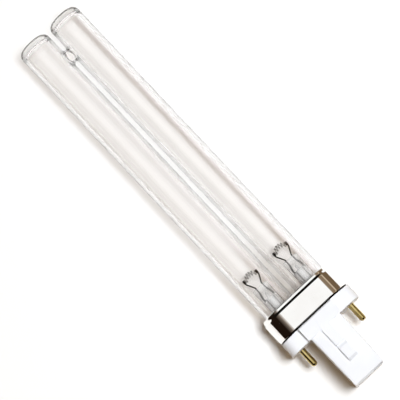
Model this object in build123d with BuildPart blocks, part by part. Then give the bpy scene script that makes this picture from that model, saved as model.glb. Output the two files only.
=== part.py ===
from build123d import *
import os
from math import atan2, cos, degrees, radians, sin, tan

# Twin-tube ultraviolet lamp with a two-pin plug-in base, in millimetres.
# The lamp is drawn upright in its own frame: Z runs along its axis to the tips, Z 0 is the seat face of the
# flange, from which the pins and the post point down, X goes across the two legs and Y is its depth.
# At the end every piece is laid down as the lamp comes to rest on a flat surface, with +Z up.

# Quartz legs
tube_diameter = 12.6
tube_wall = 1.1
tube_gap = 1.6
tip_height = 144.5
tip_glass = 2.0
tip_dome = 0.9
tip_corner = 2.2

# Bridge between the legs
bridge_below_tip = 13.2
bridge_diameter = 5.6
bridge_wall = 0.9
bridge_flare = 0.7

# Glass stems
stem_rim = 0.8
stem_length = 20.3
stem_diameter = 6.0
stem_wall = 0.8
flare_height = 4.0
flare_land = 0.5
press_length = 5.0
press_width = 6.4
press_thickness = 2.4
pump_diameter = 1.8
pump_bore = 0.8
pump_below_foot = 2.2
pump_tip_glass = 1.0

# Lead-in wires, clamps and filaments: wires this thin are drawn with few sides
lead_diameter = 0.5
lead_sides = 8
lead_spread = 2.9
lead_straight = 0.6
lead_bend = 1.0
wire_room = 0.6
seal_gap = 0.02
clamp_rise = 3.1
clamp_spread = 5.8
clamp_width = 1.0
clamp_height = 2.2
coil_diameter = 1.7
coil_wire = 0.36
coil_sides = 4
coil_turns = 4
coil_gap = 0.05

# Metal cap and cement
cement_gap = 0.6
cement_fit = 0.05
cement_above_foot = 2.0
cap_sheet = 0.35
cap_fit = 0.5
cap_seat = 0.1
cap_height = 10.3
cap_roll = 0.7
cap_shoulder = 0.9
cap_rim = 1.1
cap_rim_inset = 0.45
cap_edge = 0.45
cap_hole_gap = 0.25

# White moulded base: flange with two ears, a thicker middle block and a collar inside the cap
collar_wall = 0.7
collar_gap = 0.3
ear_height = 5.6
ear_depth = 14.4
ear_corner = 3.6
ear_wall = 1.9
ear_edge = 0.4
block_width = 15.2
block_edge = 0.5
floor_thickness = 2.0
ledge_height = 6.0

# Post of the base, with a rib on each broad face that a spring of the lamp holder catches
post_width = 13.6
post_depth = 16.6
post_length = 22.1
post_draft = 0.9
post_corner = 0.8
post_wall = 1.5
post_end = 1.6
post_edge = 0.6
rib_width = 3.8
rib_height = 0.95
rib_length = 15.1
rib_runout = 1.6
notch_start = 7.6
notch_length = 1.5
notch_depth = 0.85

# Brass pins, 23 mm apart: each head stands just clear of the end wall of the flange
pin_diameter = 2.35
pin_length = 7.1
pin_tip = 1.0
pin_bore = 1.0
pin_end_wall = 1.8
pin_shank_diameter = 2.9
pin_head_diameter = 3.8
pin_head_gap = 0.25
pin_head = 0.7
pin_fit = 0.05

# Starter and capacitor in the post
starter_diameter = 7.0
starter_length = 15.0
starter_round = 2.5
starter_pinch = 2.0
starter_pinch_width = 4.6
starter_pinch_thickness = 1.6
starter_lead_spread = 3.0
starter_gap = 0.25
capacitor_width = 8.0
capacitor_thickness = 3.4
capacitor_height = 9.0
capacitor_round = 1.2
joint_height = 1.0
joint_gap = 0.05

# Places that follow from the sizes above
tube_radius = tube_diameter / 2
tube_bore = tube_radius - tube_wall
tube_pitch = tube_diameter + tube_gap
tube_x = tube_pitch / 2
foot_height = ledge_height + stem_rim
stem_top = ledge_height + stem_length
press_base = stem_top - press_length
clamp_base = stem_top + lead_straight + clamp_rise
clamp_middle = clamp_base + clamp_height / 2
wire_top = ledge_height - wire_room
pin_wire_low = floor_thickness + pin_head + wire_room
starter_wire_low = joint_height + lead_bend
collar_bore = tube_diameter + 2 * cement_gap
collar_depth = collar_bore + 2 * collar_wall
cap_depth = collar_depth + 2 * (cap_fit + cap_sheet)
base_width = tube_pitch + cap_depth
pin_x = base_width / 2 - ear_wall - pin_head_gap - pin_head_diameter / 2
pin_spacing = 2 * pin_x
cap_base = ear_height + cap_seat
cap_top = cap_base + cap_height
rim_base = cap_top - cap_rim
shoulder_base = rim_base - cap_shoulder
rim_depth = cap_depth - 2 * cap_rim_inset
collar_top = shoulder_base - collar_gap
block_depth = post_depth + 2 * rib_height
post_floor = post_end - post_length
post_taper = post_length * tan(radians(post_draft))
room_width = post_width - 2 * post_wall
room_depth = post_depth - 2 * post_wall
room_end_depth = room_depth - 2 * post_taper
starter_y = starter_gap + starter_diameter / 2 - room_end_depth / 2
starter_base = post_floor + starter_gap
starter_top = starter_base + starter_length
pinch_top = starter_top + starter_pinch
capacitor_y = room_end_depth / 2 - starter_gap - capacitor_thickness / 2
capacitor_top = starter_base + capacitor_height

# The legs stand left and right of the axis as the lamp lies with its tips away from the viewer.
sides = {"left": 1, "right": -1}


def leg_plane(side):
    """Upright plane through the axis of one leg, X across the legs and Y up."""
    return Plane(origin=(side * tube_x, 0, 0), x_dir=(1, 0, 0), z_dir=(0, -1, 0))


def leg_axis(side):
    return Axis((side * tube_x, 0, 0), (0, 0, 1))


def leg_profile(side, radius, foot, tip):
    """Half section of one leg, or of its bore, from its foot to a low dome with a rounded corner."""
    shoulder = (radius, tip - tip_dome)
    with BuildSketch(leg_plane(side)) as profile:
        with BuildLine():
            Polyline((0, tip), (0, foot), (radius, foot), shoulder)
            TangentArc((0, tip), shoulder, tangent=(1, 0))
        make_face()
        corner = profile.vertices().group_by(Axis.Y)[-2]
        fillet(corner.sort_by(Axis.X)[-1:], radius=tip_corner)
    return profile.sketch


# Glass envelope: both legs, with closed tips and open feet, and the hollow bridge fused between them
bridge_height = tip_height - bridge_below_tip
bridge_radius = bridge_diameter / 2
bridge_root = tube_gap / 2 + tube_wall

with BuildPart() as glass_envelope:
    for side in sides.values():
        revolve(leg_profile(side, tube_radius, foot_height, tip_height), axis=leg_axis(side))
    with BuildSketch(Plane.XZ):
        with BuildLine():
            root = bridge_radius + bridge_flare
            Polyline(
                (-bridge_root, bridge_height + root),
                (-tube_x, bridge_height + root),
                (-tube_x, bridge_height),
                (tube_x, bridge_height),
                (tube_x, bridge_height + root),
                (bridge_root, bridge_height + root),
            )
            ThreePointArc(
                (-bridge_root, bridge_height + root),
                (0, bridge_height + bridge_radius),
                (bridge_root, bridge_height + root),
            )
        make_face()
    revolve(axis=Axis((0, 0, bridge_height), (1, 0, 0)))
    for side in sides.values():
        bore = leg_profile(side, tube_bore, foot_height, tip_height - tip_glass)
        revolve(bore, axis=leg_axis(side), mode=Mode.SUBTRACT)
    with BuildSketch(Plane.YZ):
        with Locations((0, bridge_height)):
            Circle(bridge_radius - bridge_wall)
    extrude(amount=tube_x, both=True, mode=Mode.SUBTRACT)


def make_stem(side):
    """Glass stem: rim under the leg, flare, tube, flat press round the wires and a sealed pump tube."""
    stem_radius = stem_diameter / 2
    stem_bore = stem_radius - stem_wall
    flare_top = ledge_height + flare_height
    flare_root = tube_bore - flare_land
    with BuildPart() as stem:
        with BuildSketch(leg_plane(side)):
            with BuildLine():
                Polyline(
                    (flare_root, foot_height),
                    (tube_radius, foot_height),
                    (tube_radius, ledge_height),
                    (flare_root - stem_rim / 2, ledge_height),
                )
                TangentArc(
                    (stem_bore, flare_top - stem_rim),
                    (flare_root - stem_rim / 2, ledge_height),
                    tangent=(0, -1),
                )
                Polyline(
                    (stem_bore, flare_top - stem_rim),
                    (stem_bore, press_base - stem_wall),
                    (0, press_base - stem_wall),
                    (0, press_base),
                    (stem_radius, press_base),
                    (stem_radius, flare_top),
                )
                TangentArc((stem_radius, flare_top), (flare_root, foot_height), tangent=(0, -1))
            make_face()
        revolve(axis=leg_axis(side))
        with BuildSketch(Plane.XY.offset(press_base)):
            with Locations((side * tube_x, 0)):
                Circle(stem_radius)
        with BuildSketch(Plane.XY.offset(stem_top)):
            with Locations((side * tube_x, 0)):
                SlotOverall(press_width, press_thickness)
        loft()
        pump_base = ledge_height - pump_below_foot
        with BuildSketch(Plane.XY.offset(pump_base)):
            with Locations((side * tube_x, 0)):
                Circle(pump_diameter / 2)
        extrude(amount=press_base - pump_base)
        chamfer(stem.faces().sort_by(Axis.Z)[0].edges(), length=pump_bore / 2)
        with BuildSketch(Plane.XY.offset(pump_base + pump_tip_glass)):
            with Locations((side * tube_x, 0)):
                Circle(pump_bore / 2)
        extrude(until=Until.LAST, mode=Mode.SUBTRACT)
        with BuildSketch(Plane.XY.offset(stem_top)):
            with Locations((side * tube_x, 0)):
                with GridLocations(lead_spread, 0, 2, 1):
                    Circle(lead_diameter / 2 + seal_gap)
        extrude(amount=-stem_length, mode=Mode.SUBTRACT)
    return stem


stems = {hand: make_stem(side) for hand, side in sides.items()}


def make_lead(side, outward, route):
    """Wire from a filament clamp down through the press, then along the route to its terminal."""
    clamp_x = side * tube_x + outward * clamp_spread / 2
    press_x = side * tube_x + outward * lead_spread / 2
    with BuildPart() as lead:
        with BuildLine() as path:
            FilletPolyline(
                (clamp_x, 0, clamp_base),
                (press_x, 0, stem_top + lead_straight),
                (press_x, 0, wire_top),
                *route,
                radius=lead_bend,
            )
        with BuildSketch(Plane(origin=path.line @ 0, z_dir=path.line % 0)):
            RegularPolygon(lead_diameter / 2, lead_sides)
        sweep()
        with BuildSketch(Plane.XY.offset(clamp_base - lead_diameter / 4)):
            with Locations((clamp_x, 0)):
                RectangleRounded(clamp_width, clamp_width, lead_diameter / 2)
        extrude(amount=clamp_height)
    return lead


# Outer wire of each leg to its pin, inner wire of each leg to the starter
pin_lead_end = pin_end_wall - pin_length
pin_leads = {}
starter_leads = {}
for hand, side in sides.items():
    pin_leads[hand] = make_lead(
        side,
        side,
        [(side * pin_x, 0, pin_wire_low), (side * pin_x, 0, pin_lead_end)],
    )
    terminal_x = side * starter_lead_spread / 2
    starter_leads[hand] = make_lead(
        side,
        -side,
        [(terminal_x, starter_y, starter_wire_low), (terminal_x, starter_y, pinch_top)],
    )


def make_filament(side):
    """Coiled filament between the clamps of one leg."""
    span = clamp_spread - clamp_width - coil_wire - 2 * coil_gap
    start_x = side * tube_x - span / 2
    with BuildPart() as filament:
        with BuildLine() as path:
            Helix(
                pitch=span / coil_turns,
                height=span,
                radius=coil_diameter / 2,
                center=(start_x, 0, clamp_middle),
                direction=(1, 0, 0),
            )
        with BuildSketch(Plane(origin=path.line @ 0, z_dir=path.line % 0)):
            RegularPolygon(coil_wire / 2, coil_sides)
        sweep(is_frenet=True)
    return filament


filaments = {hand: make_filament(side) for hand, side in sides.items()}

# Metal cap: drawn shell with a rolled lower edge, a sloped shoulder, a narrower rim and a hole for each leg
shoulder_slope = degrees(atan2(cap_rim_inset, cap_shoulder))


def cap_form(inset):
    """Outside of the cap, or the room inside it when the inset is the thickness of its sheet."""
    with BuildPart() as form:
        with BuildSketch(Plane.XY.offset(cap_base + inset)):
            SlotCenterToCenter(tube_pitch, cap_depth - 2 * inset)
        extrude(amount=shoulder_base - cap_base - inset)
        fillet(form.faces().sort_by(Axis.Z)[0].edges(), radius=cap_roll - inset)
        with BuildSketch(Plane.XY.offset(shoulder_base)):
            SlotCenterToCenter(tube_pitch, cap_depth - 2 * inset)
        extrude(amount=cap_shoulder, taper=shoulder_slope)
        with BuildSketch(Plane.XY.offset(rim_base)):
            SlotCenterToCenter(tube_pitch, rim_depth - 2 * inset)
        extrude(amount=cap_rim - inset)
        fillet(form.faces().sort_by(Axis.Z)[-1].edges(), radius=cap_edge - inset)
    return form.part


with BuildPart() as metal_cap:
    add(cap_form(0))
    add(cap_form(cap_sheet), mode=Mode.SUBTRACT)
    with BuildSketch(Plane.XY.offset(cap_base)):
        SlotCenterToCenter(tube_pitch, cap_depth - 2 * cap_roll)
    extrude(amount=cap_sheet, mode=Mode.SUBTRACT)
    with BuildSketch(Plane.XY.offset(cap_top)):
        with GridLocations(tube_pitch, 0, 2, 1):
            Circle(tube_radius + cap_hole_gap)
    extrude(amount=-cap_rim, mode=Mode.SUBTRACT)

# Cement that holds the legs in the collar
cement_base = foot_height + cement_above_foot

with BuildPart() as basing_cement:
    with BuildSketch(Plane.XY.offset(cement_base)):
        SlotCenterToCenter(tube_pitch, collar_bore - 2 * cement_fit)
        with GridLocations(tube_pitch, 0, 2, 1):
            Circle(tube_radius + cement_fit, mode=Mode.SUBTRACT)
    extrude(amount=collar_top - cement_base)

# Base housing: one moulding with the flange, the collar inside the cap and the hollow post
rib_crest = block_depth / 2
rib_root = post_depth / 2 - post_wall / 2
rib_end = -rib_length
notch_end = -(notch_start + notch_length)

with BuildPart() as base_housing:
    with BuildSketch():
        RectangleRounded(base_width, ear_depth, ear_corner)
    extrude(amount=ear_height)
    fillet(base_housing.faces().sort_by(Axis.Z)[0].edges(), radius=ear_edge)
    with BuildSketch(Plane.YZ) as block:
        with Locations((0, ear_height / 2)):
            Rectangle(block_depth, ear_height)
        fillet(block.vertices().group_by(Axis.Y)[-1], radius=block_edge)
    extrude(amount=block_width / 2, both=True)
    with BuildSketch(Plane.XY.offset(ear_height)):
        SlotCenterToCenter(tube_pitch, collar_depth)
    extrude(amount=collar_top - ear_height)
    with BuildSketch():
        RectangleRounded(post_width, post_depth, post_corner)
    extrude(amount=-post_length, taper=post_draft)
    fillet(base_housing.faces().sort_by(Axis.Z)[0].edges(), radius=post_edge)
    with BuildSketch(Plane.YZ) as rib:
        with BuildLine():
            Polyline(
                (rib_root, 0),
                (rib_crest, 0),
                (rib_crest, -notch_start),
                (rib_crest - notch_depth, -notch_start),
                (rib_crest, notch_end),
                (rib_crest, rib_end + rib_runout),
                (rib_root, rib_end),
                close=True,
            )
        make_face()
        mirror(about=Plane.YZ)
    extrude(amount=rib_width / 2, both=True)
    with BuildSketch(Plane.XY.offset(floor_thickness)):
        RectangleRounded(base_width - 2 * ear_wall, ear_depth - 2 * ear_wall, ear_corner - ear_wall)
    extrude(amount=ledge_height - floor_thickness, mode=Mode.SUBTRACT)
    with BuildSketch(Plane.XY.offset(ledge_height)):
        SlotCenterToCenter(tube_pitch, collar_bore)
    extrude(amount=collar_top - ledge_height, mode=Mode.SUBTRACT)
    with BuildSketch():
        Rectangle(room_width, room_depth)
    extrude(amount=ledge_height, mode=Mode.SUBTRACT)
    with BuildSketch():
        Rectangle(room_width, room_depth)
    extrude(amount=post_floor, taper=post_draft, mode=Mode.SUBTRACT)
    with BuildSketch():
        with GridLocations(pin_spacing, 0, 2, 1):
            Circle(pin_shank_diameter / 2 + pin_fit)
    extrude(amount=floor_thickness, mode=Mode.SUBTRACT)


def make_pin(side):
    """Hollow brass pin with a rounded end, its head on the floor of the flange."""
    pin_radius = pin_diameter / 2
    head_top = floor_thickness + pin_head
    pin_plane = Plane(origin=(side * pin_x, 0, 0), x_dir=(1, 0, 0), z_dir=(0, -1, 0))
    with BuildPart() as pin:
        with BuildSketch(pin_plane) as profile:
            with BuildLine():
                Polyline(
                    (0, -pin_length),
                    (pin_radius, -pin_length),
                    (pin_radius, 0),
                    (pin_shank_diameter / 2, 0),
                    (pin_shank_diameter / 2, floor_thickness),
                    (pin_head_diameter / 2, floor_thickness),
                    (pin_head_diameter / 2, head_top),
                    (0, head_top),
                    close=True,
                )
            make_face()
            tip = profile.vertices().group_by(Axis.Y)[0]
            fillet(tip.sort_by(Axis.X)[-1:], radius=pin_tip)
        revolve(axis=Axis((side * pin_x, 0, 0), (0, 0, 1)))
        with BuildSketch(Plane.XY.offset(head_top)):
            with Locations((side * pin_x, 0)):
                Circle(pin_bore / 2)
        extrude(amount=pin_lead_end - head_top, mode=Mode.SUBTRACT)
    return pin


pins = {hand: make_pin(side) for hand, side in sides.items()}

# Starter: sealed glass bottle with a flat pinch at its top, from which its two wires come
with BuildPart() as starter_bottle:
    with BuildSketch(Plane.XY.offset(starter_base)):
        with Locations((0, starter_y)):
            Circle(starter_diameter / 2)
    extrude(amount=starter_length)
    rims = starter_bottle.edges().filter_by(GeomType.CIRCLE).sort_by(Axis.Z)
    fillet(rims[:1], radius=starter_round)
    chamfer(rims[-1:], length=starter_round / 2)
    with BuildSketch(Plane.XY.offset(pinch_top)):
        with Locations((0, starter_y)):
            RectangleRounded(starter_pinch_width, starter_pinch_thickness, starter_pinch_thickness / 4)
    extrude(amount=-2 * starter_pinch)

# Capacitor: dipped block beside the starter, with a wire to each of the starter's wires
with BuildPart() as suppressor_capacitor:
    with BuildSketch(Plane.XY.offset(starter_base)):
        with Locations((0, capacitor_y)):
            RectangleRounded(capacitor_width, capacitor_thickness, capacitor_round)
    extrude(amount=capacitor_height)
    ends = suppressor_capacitor.faces().filter_by(Axis.Z)
    chamfer(ends.edges(), length=capacitor_round / 2)


def make_capacitor_lead(side):
    lead_x = side * starter_lead_spread / 2
    joint_y = starter_y + lead_diameter + joint_gap
    with BuildPart() as lead:
        with BuildLine() as path:
            FilletPolyline(
                (lead_x, capacitor_y, capacitor_top),
                (lead_x, capacitor_y, joint_height),
                (lead_x, joint_y, joint_height),
                radius=lead_bend,
            )
        with BuildSketch(Plane(origin=path.line @ 0, z_dir=path.line % 0)):
            RegularPolygon(lead_diameter / 2, lead_sides)
        sweep()
    return lead


capacitor_leads = {hand: make_capacitor_lead(side) for hand, side in sides.items()}

# Every piece by the name of its file
pieces = {
    "glass_envelope": glass_envelope,
    "metal_cap": metal_cap,
    "basing_cement": basing_cement,
    "base_housing": base_housing,
    "starter_bottle": starter_bottle,
    "suppressor_capacitor": suppressor_capacitor,
}
for hand in sides:
    pieces[f"{hand}_stem"] = stems[hand]
    pieces[f"{hand}_pin_lead"] = pin_leads[hand]
    pieces[f"{hand}_starter_lead"] = starter_leads[hand]
    pieces[f"{hand}_filament"] = filaments[hand]
    pieces[f"{hand}_contact_pin"] = pins[hand]
    pieces[f"{hand}_capacitor_lead"] = capacitor_leads[hand]

# At rest the lamp lies on the far edge of its middle block and on the ends of its legs, tips towards -X.
leg_end = tip_height - tip_dome - tip_corner
rest_tilt = atan2(block_depth / 2 - tube_radius, leg_end - (ear_height - block_edge))
tips_to = (-cos(rest_tilt), 0, -sin(rest_tilt))
laid = Plane(origin=(0, 0, 0), x_dir=(0, -1, 0), z_dir=tips_to)
extent = Compound([laid.from_local_coords(piece.part) for piece in pieces.values()]).bounding_box()
centre = extent.center()
rest = Plane(origin=(-centre.X, -centre.Y, -extent.min.Z), x_dir=(0, -1, 0), z_dir=tips_to)

os.makedirs("parts", exist_ok=True)
for name, piece in pieces.items():
    resting = rest.from_local_coords(piece.part)
    resting.label = name
    export_step(resting, f"parts/{name}.step")
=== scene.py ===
from math import asin, atan2, cos, pi, radians, sin, sqrt

import bmesh
import bpy
from mathutils import Matrix, Vector


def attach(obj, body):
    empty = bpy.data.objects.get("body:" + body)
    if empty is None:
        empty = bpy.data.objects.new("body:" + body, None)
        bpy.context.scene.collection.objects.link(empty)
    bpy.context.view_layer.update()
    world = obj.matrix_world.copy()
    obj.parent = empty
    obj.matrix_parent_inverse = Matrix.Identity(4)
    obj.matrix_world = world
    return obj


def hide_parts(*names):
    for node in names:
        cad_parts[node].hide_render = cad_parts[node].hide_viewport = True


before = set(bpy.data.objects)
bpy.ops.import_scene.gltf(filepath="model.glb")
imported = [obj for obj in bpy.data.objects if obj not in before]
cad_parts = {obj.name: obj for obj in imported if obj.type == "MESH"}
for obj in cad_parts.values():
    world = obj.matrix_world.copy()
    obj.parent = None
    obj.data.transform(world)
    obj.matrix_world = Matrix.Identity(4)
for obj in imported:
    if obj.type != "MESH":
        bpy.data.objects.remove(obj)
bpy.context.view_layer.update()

# Sizes in millimetres in the lamp's own frame: Z from the seat face to the tips, X across, Y up
MM = 0.001
SIDES = {"left": 1, "right": -1}

# Legs and bridge
TUBE_RADIUS = 6.3
TUBE_BORE = 5.2
TUBE_X = 7.1
FOOT = 6.8
TIP = 144.5
TIP_GLASS = 2.0
TIP_DOME = 0.9
TIP_CORNER = 2.2
LEG_END = TIP - TIP_DOME - TIP_CORNER
BRIDGE_Z = 131.3
BRIDGE_RADIUS = 2.8
BRIDGE_BORE = 1.9

# Stems, with their flared foot, press and pump tube
LEDGE = 6.0
STEM_RADIUS = 3.0
STEM_BORE = 2.2
STEM_RIM = 0.8
FLARE_TOP = 10.0
FLARE_ROOT = 4.7
FLARE_BEND = 1.0
PRESS_BASE = 21.3
STEM_TOP = 26.3
PRESS_WIDTH = 6.4
PRESS_THICKNESS = 2.4
PRESS_CROWN = 0.5
BORE_CROWN = 0.8
PUMP_RADIUS = 0.9
PUMP_BORE = 0.4
PUMP_FOOT = 3.8
PUMP_END = 0.3
PUMP_END_INSET = 0.4

# Lead-in wires and coils
LEAD_SPREAD = 2.9
LEAD_RADIUS = 0.25
LEAD_BEND = 1.0
LEAD_KNEE = 0.6
CLAMP_SPREAD = 5.8
CLAMP_BASE = 30.0
COIL_RISE = 0.7
WIRE_TOP = 5.4
PIN_WIRE_LOW = 3.3
PIN_LEAD_END = -5.3
STARTER_SPREAD = 3.0
STARTER_Y = -2.703
STARTER_WIRE_LOW = 2.0
PINCH_TOP = -3.25

# Cap, with its rolled foot, shoulder and rim
CAP_HALF_DEPTH = 8.45
CAP_BASE = 5.7
CAP_TOP = 16.0
CAP_ROLL = 0.7
CAP_FULL_ROLL = 0.95
CAP_SHEET = 0.35
CAP_EDGE = 0.45
CAP_HOLE = 6.55
CAP_HOLE_EDGE = 0.2
SHOULDER_BASE = 14.0
RIM_BASE = 14.9
RIM_HALF_DEPTH = 8.0
# Width and fade of the painted shade band on the metal at the cap's foot
CREASE_WIDTH = 0.58
CREASE_FADE = 0.15
# Height on the legs from the seat where the painted shadow near the cap starts
CAP_SHADE_END = 48.0

# Pins, and the floor of the flange that holds them
PIN_X = 11.5
PIN_RADIUS = 1.175
PIN_SHANK_RADIUS = 1.45
PIN_HEAD_RADIUS = 1.9
PIN_LENGTH = 7.1
PIN_TIP = 1.0
PIN_BORE = 0.5
PIN_HEAD = 0.7
PIN_CHAMFER = 0.15
FLOOR_THICKNESS = 2.0

# How the lamp lies: its seat face's middle, and the tilt that its thicker base gives it
BLOCK_DEPTH = 18.5
BLOCK_REST = 5.1
SEAT = Vector((61.109, 0.0, 9.369))
REST_TILT = atan2(BLOCK_DEPTH / 2 - TUBE_RADIUS, LEG_END - BLOCK_REST)


def laid_down():
    """Matrix from the lamp's own frame in millimetres to the shared frame in metres."""
    s, c = sin(REST_TILT), cos(REST_TILT)
    rows = ((0, -s, -c, SEAT.x), (-1, 0, 0, SEAT.y), (0, c, -s, SEAT.z), (0, 0, 0, 1))
    return Matrix.Scale(MM, 4) @ Matrix(rows)


LAID = laid_down()


# Objects and nodes
def new_object(name, data):
    made = bpy.data.objects.new(name, data)
    bpy.context.scene.collection.objects.link(made)
    return made


def tone(red, green, blue):
    """Colour written as it looks on a screen, 0 to 255, as linear values."""
    linear = []
    for level in (red, green, blue):
        level /= 255
        linear.append(level / 12.92 if level <= 0.04045 else ((level + 0.055) / 1.055) ** 2.4)
    return (*linear, 1.0)


def add_node(tree, kind, place, **values):
    made = tree.nodes.new(kind)
    made.location = place
    for name, value in values.items():
        setattr(made, name, value)
    return made


def set_or_link(tree, value, socket):
    """Gives a socket a plain value, or links another socket to it."""
    if isinstance(value, bpy.types.NodeSocket):
        tree.links.new(value, socket)
    else:
        socket.default_value = value


def calculate(tree, operation, place, *values):
    """Result of a sum on numbers and sockets, as a socket."""
    made = add_node(tree, "ShaderNodeMath", place, operation=operation)
    for value, socket in zip(values, made.inputs):
        set_or_link(tree, value, socket)
    return made.outputs[0]


def object_parts(tree, place):
    """Node that gives the Object coordinates one by one."""
    coordinates = add_node(tree, "ShaderNodeTexCoord", place)
    parts = add_node(tree, "ShaderNodeSeparateXYZ", (place[0] + 200, place[1]))
    tree.links.new(coordinates.outputs["Object"], parts.inputs[0])
    return parts


def blend_colours(tree, factor, first, second, place):
    """Colour between two tones or sockets by a factor, as a socket."""
    mixed = add_node(tree, "ShaderNodeMix", place, data_type="RGBA")
    set_or_link(tree, first, mixed.inputs["A"])
    set_or_link(tree, second, mixed.inputs["B"])
    tree.links.new(factor, mixed.inputs["Factor"])
    return mixed.outputs["Result"]


def spread_values(tree, factor, low, high, place):
    """Number between two values or sockets by a factor, as a socket."""
    spread = add_node(tree, "ShaderNodeMapRange", place)
    set_or_link(tree, low, spread.inputs["To Min"])
    set_or_link(tree, high, spread.inputs["To Max"])
    tree.links.new(factor, spread.inputs["Value"])
    return spread.outputs["Result"]


def rise_between(tree, value, start, end, place):
    """Factor that rises smoothly from 0 to 1 while a value goes from start to end, as a socket."""
    rise = add_node(tree, "ShaderNodeMapRange", place, interpolation_type="SMOOTHSTEP")
    rise.inputs["From Min"].default_value = start
    rise.inputs["From Max"].default_value = end
    tree.links.new(value, rise.inputs["Value"])
    return rise.outputs["Result"]


def seen_along(tree, start, end, place):
    """Factor that rises from 0 to 1 as a surface turns from the eye, between two slants."""
    turned = add_node(tree, "ShaderNodeLayerWeight", place)
    turned.inputs["Blend"].default_value = 0.5
    return rise_between(tree, turned.outputs["Facing"], start, end, (place[0] + 200, place[1]))


def raise_bump(tree, height, shader, strength, depth, place):
    """Bump of a depth in millimetres."""
    bump = add_node(tree, "ShaderNodeBump", place)
    bump.inputs["Strength"].default_value = strength
    bump.inputs["Distance"].default_value = depth * MM
    tree.links.new(height, bump.inputs["Height"])
    tree.links.new(bump.outputs["Normal"], shader.inputs["Normal"])


# Shader groups
def new_group(name, inputs, outputs):
    """Shader group with number inputs, given as name and default, and number outputs."""
    tree = bpy.data.node_groups.new(name, "ShaderNodeTree")
    for label, default in inputs:
        socket = tree.interface.new_socket(label, in_out="INPUT", socket_type="NodeSocketFloat")
        socket.default_value = default
    for label in outputs:
        tree.interface.new_socket(label, in_out="OUTPUT", socket_type="NodeSocketFloat")
    entry = add_node(tree, "NodeGroupInput", (-600, 0))
    leave = add_node(tree, "NodeGroupOutput", (600, 0))
    return tree, entry, leave


def make_mottle():
    """Uneven patches: a noise between two values, with a finer noise beside it."""
    inputs = (("Scale", 200.0), ("Low", 0.0), ("High", 1.0))
    tree, entry, leave = new_group("mottle", inputs, ("Patches", "Fine"))
    times_finer = 9.0
    patch_from, patch_to = 0.3, 0.7
    place = add_node(tree, "ShaderNodeTexCoord", (-600, -200))
    patches = add_node(tree, "ShaderNodeTexNoise", (-300, 100))
    patches.inputs["Detail"].default_value = 4.0
    fine = add_node(tree, "ShaderNodeTexNoise", (-300, -200))
    fine.inputs["Detail"].default_value = 2.0
    scale = entry.outputs["Scale"]
    finer = calculate(tree, "MULTIPLY", (-450, -350), scale, times_finer)
    spread = add_node(tree, "ShaderNodeMapRange", (100, 100))
    spread.inputs["From Min"].default_value = patch_from
    spread.inputs["From Max"].default_value = patch_to
    link = tree.links.new
    link(scale, patches.inputs["Scale"])
    link(finer, fine.inputs["Scale"])
    link(place.outputs["Object"], patches.inputs["Vector"])
    link(place.outputs["Object"], fine.inputs["Vector"])
    link(patches.outputs["Fac"], spread.inputs["Value"])
    link(entry.outputs["Low"], spread.inputs["To Min"])
    link(entry.outputs["High"], spread.inputs["To Max"])
    link(spread.outputs["Result"], leave.inputs["Patches"])
    link(fine.outputs["Fac"], leave.inputs["Fine"])
    return tree


def make_drawn_lines():
    """Lines that run along the lamp, left by drawing: a noise stretched along its axis."""
    inputs = (("Across", 900.0), ("Along", 12.0))
    tree, entry, leave = new_group("drawn_lines", inputs, ("Lines",))
    parts = object_parts(tree, (-600, -200))
    joined = add_node(tree, "ShaderNodeCombineXYZ", (-100, -100))
    lines = add_node(tree, "ShaderNodeTexNoise", (150, 0))
    lines.inputs["Scale"].default_value = 1.0
    lines.inputs["Detail"].default_value = 2.0
    link = tree.links.new
    for axis, factor, height in (("X", "Along", 100), ("Y", "Across", 0), ("Z", "Across", -100)):
        scaled = calculate(tree, "MULTIPLY", (-280, height), parts.outputs[axis],
                           entry.outputs[factor])
        link(scaled, joined.inputs[axis])
    link(joined.outputs[0], lines.inputs["Vector"])
    link(lines.outputs["Fac"], leave.inputs["Lines"])
    return tree


def place_group(tree, group, place, **values):
    made = add_node(tree, "ShaderNodeGroup", place, node_tree=group)
    for label, value in values.items():
        made.inputs[label].default_value = value
    return made


MOTTLE = make_mottle()
DRAWN_LINES = make_drawn_lines()


# Materials
def new_finish(name, **sockets):
    """Material with its Principled shader, whose plain values are set on its own sockets."""
    finish = bpy.data.materials.new(name)
    finish.use_nodes = True
    shader = finish.node_tree.nodes["Principled BSDF"]
    for label, value in sockets.items():
        shader.inputs[label.replace("_", " ")].default_value = value
    return finish, finish.node_tree, shader


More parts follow.
